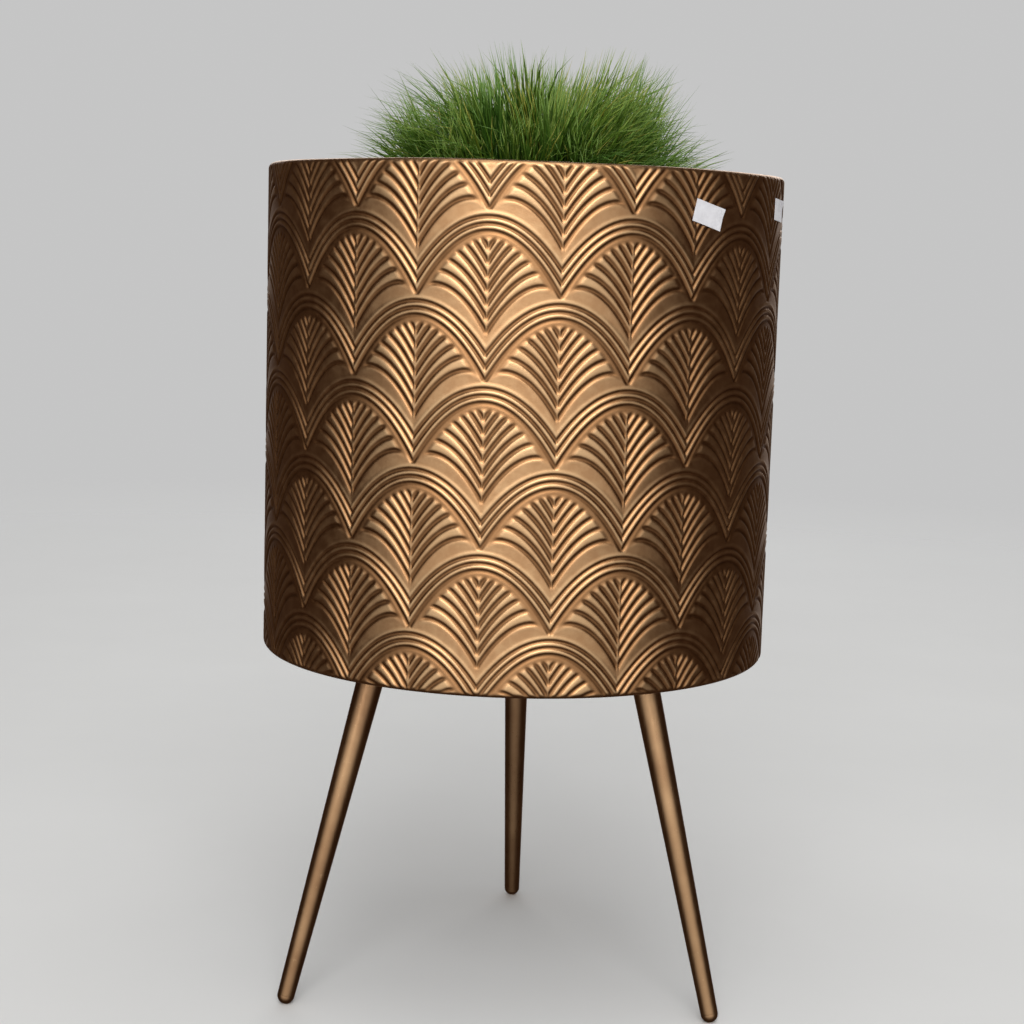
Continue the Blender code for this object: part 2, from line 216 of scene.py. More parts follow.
def rounded(outline, fillet, pieces=4, closed=True):
    """An outline of (radius, height) points with each corner rounded off."""
    points = [Vector(p) for p in outline]
    made = []
    count = len(points)
    for i, corner in enumerate(points):
        ends = not closed and i in (0, count - 1)
        before = points[i - 1] - corner
        after = points[(i + 1) % count] - corner
        reach = min(fillet, FILLET_SHARE * before.length, FILLET_SHARE * after.length)
        if ends or corner.x < TINY or reach < TINY:
            made.append(corner)
            continue
        start = corner + before.normalized() * reach
        end = corner + after.normalized() * reach
        for k in range(pieces + 1):
            t = k / pieces
            made.append(start * (1 - t) ** 2 + corner * 2 * t * (1 - t) + end * t * t)
    return [(p.x, p.y) for p in made]


def bearings(count):
    """Even turns round a full circle."""
    return np.linspace(0.0, 2 * math.pi, count, endpoint=False)


def revolve(name, outline, steps, ring, place=None):
    """A surface turned about Z from an outline, then moved to its place.

    ring: the outline is a loop. Otherwise the surface is closed where its ends lie on the axis.
    """
    turns = bearings(steps)
    profile = np.array(outline)
    x = profile[:, 0:1] * np.cos(turns)
    y = profile[:, 0:1] * np.sin(turns)
    z = np.broadcast_to(profile[:, 1:2], x.shape)
    points = np.stack([x, y, z], axis=-1).reshape(-1, 3)
    mesh = build_mesh(name, points, ring_quads(len(profile), steps, ring))
    body = bmesh.new()
    body.from_mesh(mesh)
    bmesh.ops.remove_doubles(body, verts=body.verts, dist=SAME_PLACE)
    bmesh.ops.recalc_face_normals(body, faces=body.faces)
    if place is not None:
        bmesh.ops.transform(body, matrix=place, verts=body.verts)
    body.to_mesh(mesh)
    body.free()
    return mesh


def boolean(piece, cutter_mesh, operation):
    """Cuts or joins a mesh into a piece and leaves only the result."""
    cutter = new_object("cutter", cutter_mesh)
    step = piece.modifiers.new(operation.title(), "BOOLEAN")
    step.operation = operation
    step.object = cutter
    result = evaluated(piece)
    piece.modifiers.remove(step)
    old = piece.data
    result.materials.clear()
    result.materials.append(old.materials[0])
    result.shade_smooth()
    result.set_sharp_from_angle(angle=SHARP)
    piece.data = result
    bpy.data.meshes.remove(old)
    bpy.data.objects.remove(cutter, do_unlink=True)


def smoothstep(value, low, high):
    """Smooth rise from 0 at low to 1 at high."""
    t = np.clip((value - low) / (high - low), 0.0, 1.0)
    return t * t * (3.0 - 2.0 * t)


# ---- materials


class Tree:
    """A node tree, with short calls for the nodes used here."""

    def __init__(self, owner):
        owner.use_nodes = True
        self.nodes = owner.node_tree.nodes
        self.links = owner.node_tree.links

    def fill(self, socket, value):
        """Gives an input a constant or another node's output."""
        if isinstance(value, (int, float, tuple)):
            socket.default_value = value
        else:
            self.links.new(value, socket)

    def give(self, node, **values):
        """Fills a node's inputs by their names."""
        for label, value in values.items():
            self.fill(node.inputs[label.replace("_", " ")], value)
        return node

    def node(self, kind, **values):
        return self.give(self.nodes.new("ShaderNode" + kind), **values)

    def wired(self, kind, operation, *values):
        """A node whose first inputs take these values."""
        node = self.node(kind)
        if operation:
            node.operation = operation
        for socket, value in zip(node.inputs, values):
            self.fill(socket, value)
        return node

    def math(self, operation, a, b):
        return self.wired("Math", operation, a, b).outputs[0]


class Graph(Tree):
    """A material's node tree round its Principled shader."""

    def __init__(self, name):
        self.material = bpy.data.materials.new(name)
        super().__init__(self.material)
        self.shader = self.nodes["Principled BSDF"]
        self.place = self.node("TexCoord").outputs["Object"]

    def set(self, **values):
        """Fills the shader's own inputs."""
        self.give(self.shader, **values)

    def stretched(self, scale):
        return self.node("Mapping", Scale=scale, Vector=self.place).outputs["Vector"]

    def noise(self, scale, detail=3.0, rough=0.55, place=None):
        node = self.node("TexNoise", Scale=scale, Detail=detail, Roughness=rough)
        self.fill(node.inputs["Vector"], place or self.place)
        return node.outputs["Fac"]

    def cells(self, scale):
        return self.node("TexVoronoi", Scale=scale, Vector=self.place).outputs["Distance"]

    def attribute(self, name):
        node = self.node("Attribute")
        node.attribute_name = name
        return node.outputs["Fac"]

    def span(self, value, low, high, out_low, out_high):
        """A value's range mapped to another, and clamped."""
        ends = {"From_Min": low, "From_Max": high, "To_Min": out_low, "To_Max": out_high}
        return self.node("MapRange", Value=value, **ends).outputs["Result"]

    def ramp(self, value, *stops):
        """Colour from a value, by stops of (position, colour)."""
        node = self.node("ValToRGB", Fac=value)
        marks = node.color_ramp.elements
        while len(marks) < len(stops):
            marks.new(0.5)
        for mark, (position, colour) in zip(marks, stops):
            mark.position = position
            mark.color = (*colour, 1.0)
        return node.outputs["Color"]

    def blend(self, factor, a, b, mode="MIX"):
        node = self.node("Mix")
        node.data_type = "RGBA"
        node.blend_type = mode
        for socket, value in ((node.inputs[0], factor), (node.inputs[6], a), (node.inputs[7], b)):
            self.fill(socket, (*value, 1.0) if isinstance(value, tuple) else value)
        return node.outputs[2]

    def bump(self, height, strength, distance):
        node = self.node("Bump", Strength=strength, Distance=distance, Height=height)
        self.set(Normal=node.outputs["Normal"])


def embossed_brass():
    """Antique satin brass: patina and painted shade darken the grooves, and the ribs are lightly rubbed.
    """
    g = Graph("embossed_brass")
    g.set(Metallic=1.0)
    relief = g.attribute("relief")
    tone = g.noise(11.0, 3.0)
    mottle = g.noise(150.0, 4.0, 0.65)
    grain = g.noise(2600.0, 2.0)
    # Colour follows the relief: patina deepened with painted shade down in the grooves, rubbed wear on
    # the ribs.
    patina_shade_and_wear = g.math("ADD", relief, g.span(mottle, 0.3, 0.7, -0.07, 0.07))
    colour = g.ramp(
        patina_shade_and_wear,
        (0.08, (0.135, 0.064, 0.026)),
        (0.50, (0.310, 0.160, 0.070)),
        (0.78, (0.430, 0.248, 0.122)),
        (1.00, (0.610, 0.400, 0.213)),
    )
    clouds = g.span(tone, 0.32, 0.68, 0.0, 0.30)
    g.set(Base_Color=g.blend(clouds, colour, (0.350, 0.172, 0.072)))
    rough = g.span(mottle, 0.30, 0.70, 0.29, 0.39)
    worn = g.span(relief, 0.1, 0.8, 0.10, 0.0)
    g.set(Roughness=g.math("ADD", rough, worn))
    g.bump(g.math("ADD", g.math("MULTIPLY", mottle, 0.7), grain), 0.22, 0.00022)
    return g.material


def plain_brass(name, colour, dark, roughness):
    """Satin brass sheet with rolling marks and a few darker clouds."""
    g = Graph(name)
    g.set(Metallic=1.0)
    tone = g.noise(14.0, 4.0)
    marks = g.noise(60.0, 3.0, 0.6, g.stretched((1.0, 14.0, 14.0)))
    g.set(Base_Color=g.ramp(tone, (0.34, dark), (0.66, colour)))
    g.set(Roughness=g.span(marks, 0.3, 0.7, roughness - 0.05, roughness + 0.08))
    g.bump(marks, 0.15, 0.0001)
    return g.material


def leg_bronze():
    """Bronze-coloured satin finish with fine lengthwise brushing and small scuffs."""
    g = Graph("leg_bronze")
    g.set(Metallic=1.0)
    tone = g.noise(26.0, 4.0)
    brushed = g.noise(900.0, 3.0, 0.6, g.stretched((1.0, 1.0, 0.03)))
    scuff = g.noise(420.0, 2.0, 0.7)
    colour = g.ramp(tone, (0.30, (0.265, 0.152, 0.078)), (0.72, (0.420, 0.265, 0.142)))
    colour = g.blend(g.span(scuff, 0.66, 0.74, 0.0, 0.35), colour, (0.50, 0.33, 0.18))
    g.set(Base_Color=colour)
    g.set(Roughness=g.span(brushed, 0.25, 0.75, 0.25, 0.40))
    g.bump(brushed, 0.12, 0.0001)
    return g.material


def bright_metal(name, colour, dark, roughness):
    """Plated or bare steel with fine tool marks."""
    g = Graph(name)
    g.set(Metallic=1.0)
    marks = g.noise(700.0, 3.0, 0.6)
    g.set(Base_Color=g.ramp(g.noise(180.0, 3.0), (0.35, dark), (0.65, colour)))
    g.set(Roughness=g.span(marks, 0.3, 0.7, roughness - 0.06, roughness + 0.10))
    g.bump(marks, 0.2, 0.0001)
    return g.material


def label_paper():
    """Plain white sticker paper with a faint fibre."""
    g = Graph("label_paper")
    g.set(Roughness=0.55)
    fibre = g.noise(1500.0, 4.0, 0.7)
    soil = g.noise(160.0, 3.0)
    g.set(Base_Color=g.ramp(soil, (0.3, (0.76, 0.75, 0.78)), (0.7, (0.88, 0.87, 0.90))))
    g.bump(fibre, 0.25, 0.0001)
    return g.material


def nursery_plastic():
    """Thin black recycled plastic, dusty and faintly scratched."""
    g = Graph("nursery_plastic")
    dust = g.noise(38.0, 5.0, 0.6)
    scratch = g.noise(90.0, 3.0, 0.7, g.stretched((1.0, 1.0, 9.0)))
    g.set(Base_Color=g.ramp(dust, (0.40, (0.020, 0.021, 0.022)), (0.78, (0.036, 0.035, 0.033))))
    g.set(Roughness=g.span(scratch, 0.3, 0.7, 0.38, 0.58))
    g.bump(scratch, 0.2, 0.0002)
    return g.material


def potting_soil():
    """Dark peat with lighter bark and grit."""
    g = Graph("potting_soil")
    g.set(Roughness=0.95)
    lumps = g.cells(420.0)
    fine = g.noise(900.0, 5.0, 0.7)
    colour = g.ramp(
        fine,
        (0.35, (0.012, 0.008, 0.005)),
        (0.60, (0.040, 0.025, 0.015)),
        (0.82, (0.110, 0.070, 0.040)),
    )
    g.set(Base_Color=colour)
    g.bump(g.math("ADD", lumps, fine), 0.7, 0.0012)
    return g.material


def grass_skin():
    """Leaf green with painted shade, dark towards the root deep in the tuft and fresh towards the tip;
    each blade its own tone, the darkest locks painted shade between tufts.
    """
    g = Graph("grass_blades")
    g.set(Roughness=0.48)
    along = g.attribute("along")
    shade = g.attribute("shade")
    # Painted shade: near black at the root, where the tuft is dense, fresher green up to the tip.
    green = g.ramp(
        along,
        (0.00, (0.004, 0.010, 0.003)),
        (0.40, (0.020, 0.055, 0.007)),
        (0.72, (0.110, 0.220, 0.024)),
        (1.00, (0.240, 0.360, 0.070)),
    )
    # Tone of each lock, partly random and partly painted shade: the darkest locks stand for the shaded
    # gaps between tufts.
    tint = g.ramp(
        shade,
        (0.00, (0.55, 0.78, 0.70)),
        (0.45, (0.95, 1.00, 0.90)),
        (0.90, (1.25, 1.12, 0.85)),
        (0.97, (2.20, 1.30, 1.10)),
    )
    g.set(Base_Color=g.blend(1.0, green, tint, "MULTIPLY"))
    g.bump(g.noise(1800.0, 2.0, 0.5), 0.15, 0.0001)
    return g.material


# ---- embossed wall


def parabola_distance(across, down):
    """Distance from an arch's inner groove, positive outside it. down is measured from its crest."""
    across = np.abs(across)
    x = across.copy()
    for _ in range(NEWTON_STEPS):
        slope = 2.0 * ARCH_BOW * x
        gap = ARCH_BOW * x * x - down
        change = np.maximum(1.0 + slope * slope + 2.0 * ARCH_BOW * gap, NEWTON_FLOOR)
        x = np.maximum(x - (x - across + slope * gap) / change, 0.0)
    distance = np.hypot(across - x, down - ARCH_BOW * x * x)
    return np.where(down < ARCH_BOW * across * across, distance, -distance)


def arch_relief(outside):
    """Height over the groove bottoms, from 0 to 1, of the ribs that border an arch."""
    nearest = np.full(outside.shape, RIB)
    for k in range(BORDER_GROOVES):
        nearest = np.minimum(nearest, np.abs(outside - k * RIB))
    flank = smoothstep(nearest, *BORDER_BANK)
    return (1.0 - CROWN) * flank + CROWN * smoothstep(nearest, BORDER_BANK[0], RIB / 2)


def leaf_relief(across, on_spine):
    """Height over the groove bottoms, from 0 to 1, of the leaf inside an arch."""
    slope = LEAF_RISE - 2.0 * LEAF_DROOP * across
    index = np.clip(np.round((on_spine - LEAF_FIRST) / LEAF_STEP), 0, LEAF_GROOVES - 1)
    off = np.abs(on_spine - LEAF_FIRST - index * LEAF_STEP) / np.sqrt(1.0 + slope * slope)
    near_spine = np.maximum(SPINE_HALF - across, 0.0) * SPINE_SLOPE
    away = np.hypot(off, near_spine)
    return (1.0 - CROWN) * smoothstep(away, *LEAF_BANK) + CROWN * smoothstep(away, *LEAF_CROWN)


def border_height(outside):
    """Height of an arch's border and the plain band round it, below the rib tops."""
    rib_edge = (BORDER_GROOVES - 1) * RIB + RIB / 2
    ribs = (arch_relief(outside) - 1.0) * GROOVE_DEPTH
    return ribs - smoothstep(outside, rib_edge, BORDER_EDGE) * BAND_DROP


def leaf_height(across, down, outside):
    """Height of the leaf inside an arch and of the margin round it, below the rib tops."""
    on_spine = down + LEAF_RISE * across - LEAF_DROOP * across * across
    last_groove = LEAF_FIRST + (LEAF_GROOVES - 1) * LEAF_STEP
    band_share = smoothstep(on_spine, last_groove, last_groove + LEAF_STEP / 2)
    leaf = (leaf_relief(across, on_spine) - 1.0) * GROOVE_DEPTH - band_share * BAND_DROP
    rib_end = smoothstep(-outside, LEAF_MARGIN - LEAF_END, LEAF_MARGIN + LEAF_END)
    margin_depth = MARGIN_DROP + (BAND_DROP - MARGIN_DROP) * band_share
    return leaf * rib_end - margin_depth * (1.0 - rib_end)


def relief(along, below):
    """Height of the embossing in metres, for arrays of places along the wall and below the rim.

    The lowest arch that reaches a place owns it, so each row laps over the one above.
    """
    height = np.full(along.shape, -BAND_DROP)
    free = np.ones(along.shape, dtype=bool)
    last = math.ceil((below.max() - ARCH_CREST + 2 * BORDER_EDGE) / ARCH_ROW)
    for row in range(last, FIRST_ROW - 1, -1):
        shift = ARCH_OFFSET + (ARCH_PITCH / 2 if row % 2 else 0.0)
        down = below - ARCH_CREST - row * ARCH_ROW
        band = free & (down > -BORDER_EDGE) & (down < ARCH_DEPTH)
        across = (along[band] - shift + ARCH_PITCH / 2) % ARCH_PITCH - ARCH_PITCH / 2
        outside = parabola_distance(across, down[band])
        leaf = leaf_height(np.abs(across), down[band], outside)
        leaf += (-GROOVE_DEPTH - leaf) * smoothstep(outside, -RIB / 2, 0.0)
        made = np.where(outside > 0.0, border_height(outside), leaf)
        owned = outside < BORDER_EDGE
        spots = np.flatnonzero(band.ravel())[owned]
        height.ravel()[spots] = made[owned]
        free.ravel()[spots] = False
    return height + RIB_PROUD


def wall_profile():
    """The sheet's section as two runs of (radius, height) points that make a loop together: the
    outside from the rim curl down to the hem's edge, and the inside from there up to the curl."""
    curl = (POT_RADIUS - CURL_RADIUS, RIM - CURL_RADIUS)
    bend = (POT_RADIUS - HEM_BEND, FOOT_OF_WALL + HEM_BEND)
    hem_edge = POT_RADIUS - HEM_WIDTH
    hem_top = FOOT_OF_WALL + SHEET
    bevel = SHEET / 4
    rows = int((curl[1] - bend[1]) / WALL_STEP)
    outer = arc(curl, CURL_RADIUS, CURL_TURN, 0.0, CURL_ROWS)
    outer += [(POT_RADIUS, z) for z in np.linspace(curl[1], bend[1], rows)[1:-1]]
    outer += arc(bend, HEM_BEND, 0.0, -math.pi / 2, BEND_ROWS)
    outer += [(hem_edge + bevel, FOOT_OF_WALL), (hem_edge, FOOT_OF_WALL + bevel)]
    rows = int((curl[1] - bend[1]) / INNER_STEP)
    inside = [(hem_edge, hem_top - bevel), (hem_edge + bevel, hem_top)]
    inside += arc(bend, HEM_BEND - SHEET, -math.pi / 2, 0.0, BEND_ROWS)
    inside += [(POT_RADIUS - SHEET, z) for z in np.linspace(bend[1], curl[1], rows)[1:-1]]
    inside += arc(curl, CURL_RADIUS - SHEET, 0.0, CURL_TURN, CURL_ROWS)
    return np.array(outer), np.array(inside)


def lengths(points):
    """Distance along a run of points, from 0 to 1."""
    steps = np.hypot(*np.diff(points, axis=0).T)
    run = np.concatenate([[0.0], np.cumsum(steps)])
    return run / run[-1]


def emboss_share(outer):
    """How much of the embossing each point of the outside carries: none on the curl and the hem."""
    foot = FOOT_OF_WALL + HEM_BEND
    share = smoothstep(RIM - outer[:, 1], *RIM_FADE) * (outer[:, 0] > POT_RADIUS - CURL_RADIUS / 2)
    return share * smoothstep(outer[:, 1], foot + HEM_FADE[0], foot + HEM_FADE[1])


def embossed_wall():
    """The rolled sheet: embossed outside, curled over the rim wire, hemmed at the foot."""
    outer, inside = wall_profile()
    profile = np.concatenate([outer, inside])
    turns = SEAM_BEARING - 2 * math.pi + bearings(WALL_COLUMNS)
    radius = np.repeat(profile[:, 0:1], WALL_COLUMNS, axis=1)
    height = np.repeat(profile[:, 1:2], WALL_COLUMNS, axis=1)

    share = emboss_share(outer)[:, None]
    embossing = relief(*np.meshgrid(POT_RADIUS * (turns - FRONT_BEARING), RIM - outer[:, 1]))
    past_seam = POT_RADIUS * (turns - turns[0])
    lap = (1.0 - smoothstep(past_seam, SEAM_LAP, SEAM_LAP + SEAM_BLEND)) * SEAM_LIFT
    radius[: len(outer)] += share * (embossing + lap)
    wave = sum(part * np.sin(lobes * turns + phase) for lobes, part, phase in RIM_WAVES)
    height += smoothstep(height, RIM - RIM_WAVE_DROP, RIM) * RIM_WAVE * wave

    points = np.stack([radius * np.cos(turns), radius * np.sin(turns), height], axis=-1)
    quads = ring_quads(len(profile), WALL_COLUMNS, True)
    mesh = build_mesh("embossed_wall", points.reshape(-1, 3), quads)

    span = GROOVE_DEPTH + BAND_DROP
    plain = GROOVE_DEPTH / span
    level = np.full(height.shape, plain)
    level[: len(outer)] += ((embossing - RIB_PROUD + span) / span - plain) * share
    store_values(mesh, "relief", level)
    bake_map(mesh, outer, inside)
    add_piece("embossed_wall", mesh, "planter", "embossed_brass", "planter_shell")


def bake_map(mesh, outer, inside):
    """Map of the wall unrolled: the outside fills most of it, and the inside a strip above."""
    across = np.linspace(0.0, 1.0, WALL_COLUMNS + 1)
    outer_up = lengths(outer) * (1.0 - INNER_MAP_SHARE - MAP_GAP)
    inner_up = 1.0 - INNER_MAP_SHARE + lengths(inside) * INNER_MAP_SHARE
    up = np.concatenate([outer_up, inner_up])
    up_after = np.append(up[1:], up[-1])
    up_after[len(outer) - 1] = up[len(outer) - 1] + MAP_EDGE
    shape = (len(up), WALL_COLUMNS)
    left, right = (np.broadcast_to(edge, shape) for edge in (across[:-1], across[1:]))
    low, high = (np.broadcast_to(edge[:, None], shape) for edge in (up, up_after))
    places = np.stack([left, low, right, low, right, high, left, high], axis=-1)
    layer = mesh.uv_layers.new(name="OFBake")
    layer.uv.foreach_set("vector", places.astype(np.float32).ravel())


# ---- fittings

GAP = 0.0003
SAME_RING = 0.0001
TUBE_WALL = 0.0012
TUBE_FILLET = 0.0002
FOOT_SHOULDER = 0.00027
WASHER_FILLET = 0.0003
SPLIT_TURN = math.radians(9)
MOUNT_SHEET = 0.0016
PLATE_FILLET = 0.0005
BOSS_RADIUS = 0.0095
BOSS_FILLET = 0.0004
STUD_RADIUS = 0.004
WELD_RADIUS = 0.0011
WELD_RIPPLE = 0.12
WELD_RIPPLE_STEPS = 4
RIVET_RADIUS = 0.002
RIVET_TAIL_RADIUS = 0.0029
RIVET_HEAD_HEIGHT = 0.0013
PAN_SHEET = 0.0012
PAN_BEND = 0.0013

# Cutters go past the piece that they cut
OVERSHOOT = 0.01
BORE_CUT = 0.03

# Steps round each turned piece
LEG_STEPS = 72
DOME_ROWS = 16
BORE_STEPS = 48
WELD_STEPS = 96
WELD_SIDES = 12
RIVET_STEPS = 40
RIVET_HOLE_STEPS = 32
RIVET_ROWS = 9
PAN_STEPS = 192
PAN_BEND_ROWS = 6


def corners(node):
    """The separate corner points of a CAD node."""
    mesh = NODES[node].data
    places = np.empty(len(mesh.vertices) * 3, dtype=np.float32)
    mesh.vertices.foreach_get("co", places)
    return np.unique(np.round(places.reshape(-1, 3).astype(float), 7), axis=0)


def leg_place(side):
    """Matrix that puts +Z up along a leg's axis, from the middle of its tube."""
    middle = Vector(corners(f"leg_tube_{side}").mean(axis=0))
    towards = Vector(corners(f"leg_stud_{side}").mean(axis=0)) - middle
    return Matrix.Translation(middle) @ towards.to_track_quat("Z", "Y").to_matrix().to_4x4()


def along_axis(node, place):
    """Height along an axis, and distance from it, of each corner point of a CAD node."""
    local = np.array([place.inverted() @ Vector(point) for point in corners(node)])
    return local[:, 2], np.hypot(local[:, 0], local[:, 1])


def leg_tube(side, place):
    """Tapered tube, open at both ends."""
    height, radius = along_axis(f"leg_tube_{side}", place)
    low, high = height.min(), height.max()
    foot = radius[height < low + GAP].max()
    head = radius[height > high - GAP].max()
    outline = [(head, high), (foot, low), (foot - TUBE_WALL, low), (head - TUBE_WALL, high)]
    mesh = revolve(f"leg_{side}", rounded(outline, TUBE_FILLET), LEG_STEPS, True, place)
    add_piece(f"leg_{side}", mesh, "planter", "leg_bronze", f"leg_tube_{side}")


def foot_dome(side, place):
    """Domed plug in the foot of the tube, ground flat where it stands on the floor."""
    height, radius = along_axis(f"foot_tip_{side}", place)
    dome = radius.max()
    centre = height[radius > dome - SAME_RING].mean()
    stem = dome - TUBE_WALL - GAP
    shoulder = centre + FOOT_SHOULDER
    outline = [(0.0, height.max()), (stem, height.max()), (stem, shoulder), (dome, shoulder)]
    outline += arc((0.0, centre), dome, 0.0, -math.pi / 2, DOME_ROWS)
    outline[-1] = (0.0, centre - dome)
    name = f"foot_dome_{side}"
    mesh = revolve(name, outline, LEG_STEPS, False, place)
    for vert in mesh.vertices:
        vert.co.z = max(vert.co.z, 0.0)
    add_piece(name, mesh, "planter", "leg_bronze", f"foot_tip_{side}", hard_edges=True)


def split_washer(side, place):
    """Spring washer, split across its ring."""
    height, radius = along_axis(f"lock_washer_{side}", place)
    low, high = height.min(), height.max()
    bore, rim = radius.min(), radius.max()
    outline = rounded([(rim, high), (rim, low), (bore, low), (bore, high)], WASHER_FILLET, 3)
    body = bmesh.new()
    rings = []
    for turn in np.linspace(SPLIT_TURN / 2, 2 * math.pi - SPLIT_TURN / 2, LEG_STEPS):
        around = [(r * math.cos(turn), r * math.sin(turn), z) for r, z in outline]
        rings.append([body.verts.new(place @ Vector(point)) for point in around])
    for ring, after in zip(rings, rings[1:]):
        for i in range(len(outline)):
            j = (i + 1) % len(outline)
            body.faces.new((ring[i], ring[j], after[j], after[i]))
    body.faces.new(rings[0])
    body.faces.new(rings[-1])
    bmesh.ops.recalc_face_normals(body, faces=body.faces)
    name = f"split_washer_{side}"
    node = f"lock_washer_{side}"
    add_piece(name, mesh_of(body, name), "planter", "zinc_steel", node, hard_edges=True)


def cylinder_mesh(name, radius, low, high, place, steps=BORE_STEPS):
    """A plain cylinder, for cutting."""
    outline = [(0.0, low), (radius, low), (radius, high), (0.0, high)]
    return revolve(name, outline, steps, False, place)


def in_plan(spot):
    """Matrix that moves a piece from the axis of the pot to a place seen from above."""
    return Matrix.Translation((spot[0], spot[1], 0.0))


def rivet_spots(side):
    """Where a mount's rivets stand, seen from above."""
    boxes = [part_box(f"mount_rivet_{side}_{number}") for number in RIVETS]
    return [((low[0] + high[0]) / 2, (low[1] + high[1]) / 2) for low, high in boxes]


def rivet_hole(spot, low, high):
    """Cutter for the hole of a rivet, from below one level to above another."""
    ends = (low - OVERSHOOT, high + OVERSHOOT)
    return cylinder_mesh("rivet_hole", RIVET_RADIUS + GAP, *ends, in_plan(spot), RIVET_HOLE_STEPS)


def leg_plate(side, place):
    """Mount under the pan: a round plate, its boss square to the leg, and the weld between them."""
    points = corners(f"leg_mount_{side}")
    top = points[:, 2].max()
    edge = points[points[:, 2] > top - GAP]
    centre = (edge.min(axis=0) + edge.max(axis=0)) / 2
    radius = (edge[:, 0].max() - edge[:, 0].min()) / 2
    underside = top - MOUNT_SHEET
    outline = [(0.0, top), (radius, top), (radius, underside), (0.0, underside)]
    outline = rounded(outline, PLATE_FILLET, closed=False)
    mesh = revolve(f"leg_plate_{side}", outline, LEG_STEPS, False, in_plan(centre))
    plate = add_piece(f"leg_plate_{side}", mesh, "planter", "mount_steel", f"leg_mount_{side}")
    end = along_axis(f"leg_mount_{side}", place)[0].min()
    up = place.to_3x3() @ Vector((0.0, 0.0, 1.0))
    reach = (underside + MOUNT_SHEET / 2 - (place @ Vector((0.0, 0.0, end))).z) / up.z
    boss = [(0.0, end), (BOSS_RADIUS, end), (BOSS_RADIUS, end + reach), (0.0, end + reach)]
    boss = rounded(boss, BOSS_FILLET, closed=False)
    boolean(plate, revolve("boss", boss, LEG_STEPS, False, place), "UNION")
    bore = cylinder_mesh("bore", STUD_RADIUS + GAP, end - OVERSHOOT, end + BORE_CUT, place)
    boolean(plate, bore, "DIFFERENCE")
    for spot in rivet_spots(side):
        boolean(plate, rivet_hole(spot, underside, top), "DIFFERENCE")
    weld_bead(side, place, underside)


def weld_bead(side, place, underside):
    """Rippled bead round the boss, where it meets the underside of its plate."""
    up = place.to_3x3() @ Vector((0.0, 0.0, 1.0))
    spine = []
    for turn in bearings(WELD_STEPS):
        foot = place @ Vector((BOSS_RADIUS * math.cos(turn), BOSS_RADIUS * math.sin(turn), 0.0))
        spine.append(foot + up * ((underside - foot.z) / up.z))
    middle = sum(spine, Vector()) / len(spine)
    points = []
    for i, spot in enumerate(spine):
        outwards = (spot - middle).normalized()
        radius = WELD_RADIUS * (1.0 + WELD_RIPPLE * math.sin(i * 2 * math.pi / WELD_RIPPLE_STEPS))
        for turn in bearings(WELD_SIDES):
            away = outwards * math.cos(turn) + Vector((0.0, 0.0, math.sin(turn)))
            points.append(tuple(spot + away * radius))
    mesh = build_mesh(f"weld_bead_{side}", points, ring_quads(WELD_STEPS, WELD_SIDES, True))
    add_piece(f"weld_bead_{side}", mesh, "planter", "mount_steel")


def cap(radius, level, rise):
    """Points of a rivet's shallow head, from its edge to its middle."""
    turns = np.linspace(0.0, math.pi / 2, RIVET_ROWS)[:-1]
    points = [(radius * math.cos(t), level + rise * math.sin(t)) for t in turns]
    return points + [(0.0, level + rise)]


def rivets(side):
    """Rivets of a mount, with their heads below it and their tails above the pan."""
    for number, spot in zip(RIVETS, rivet_spots(side)):
        node = f"mount_rivet_{side}_{number}"
        name = f"rivet_{side}_{number}"
        low, high = box_of(node)
        tail_foot = high.z - RIVET_HEAD_HEIGHT
        head_top = low.z + RIVET_HEAD_HEIGHT
        outline = cap(RIVET_TAIL_RADIUS, tail_foot, RIVET_HEAD_HEIGHT)[::-1]
        outline += [(RIVET_RADIUS, tail_foot), (RIVET_RADIUS, head_top)]
        outline += cap((high.x - low.x) / 2, head_top, -RIVET_HEAD_HEIGHT)
        mesh = revolve(name, outline, RIVET_STEPS, False, in_plan(spot))
        add_piece(name, mesh, "planter", "rivet_brass", node, hard_edges=True)


def sheet_solid(name, midline, thickness, steps, body, slot, node):
    """A turned sheet of even thickness about a line through the middle of it."""
    piece = add_piece(name, revolve(name, midline, steps, False), body, slot, node)
    wall = piece.modifiers.new("Sheet", "SOLIDIFY")
    wall.thickness = thickness
    wall.offset = 0.0
    wall.use_even_offset = True
    solid = evaluated(piece)
    piece.modifiers.remove(wall)
    piece.data = solid
    return piece


def pan():
    """Floor of the pot, pierced for the rivets."""
    low, high = box_of("base_pan")
    half = PAN_SHEET / 2
    skirt = high.x - half
    floor = low.z + half
    midline = [(skirt, high.z)]
    midline += arc((skirt - PAN_BEND, floor + PAN_BEND), PAN_BEND, 0.0, -math.pi / 2, PAN_BEND_ROWS)
    midline += [(skirt * share, floor) for share in (0.75, 0.5, 0.25, 0.0)]
    piece = sheet_solid("pan", midline, PAN_SHEET, PAN_STEPS, "planter", "pan_brass", "base_pan")
    for side in SIDES:
        for spot in rivet_spots(side):
            boolean(piece, rivet_hole(spot, low.z, low.z), "DIFFERENCE")


# ---- nursery pot, soil and grass

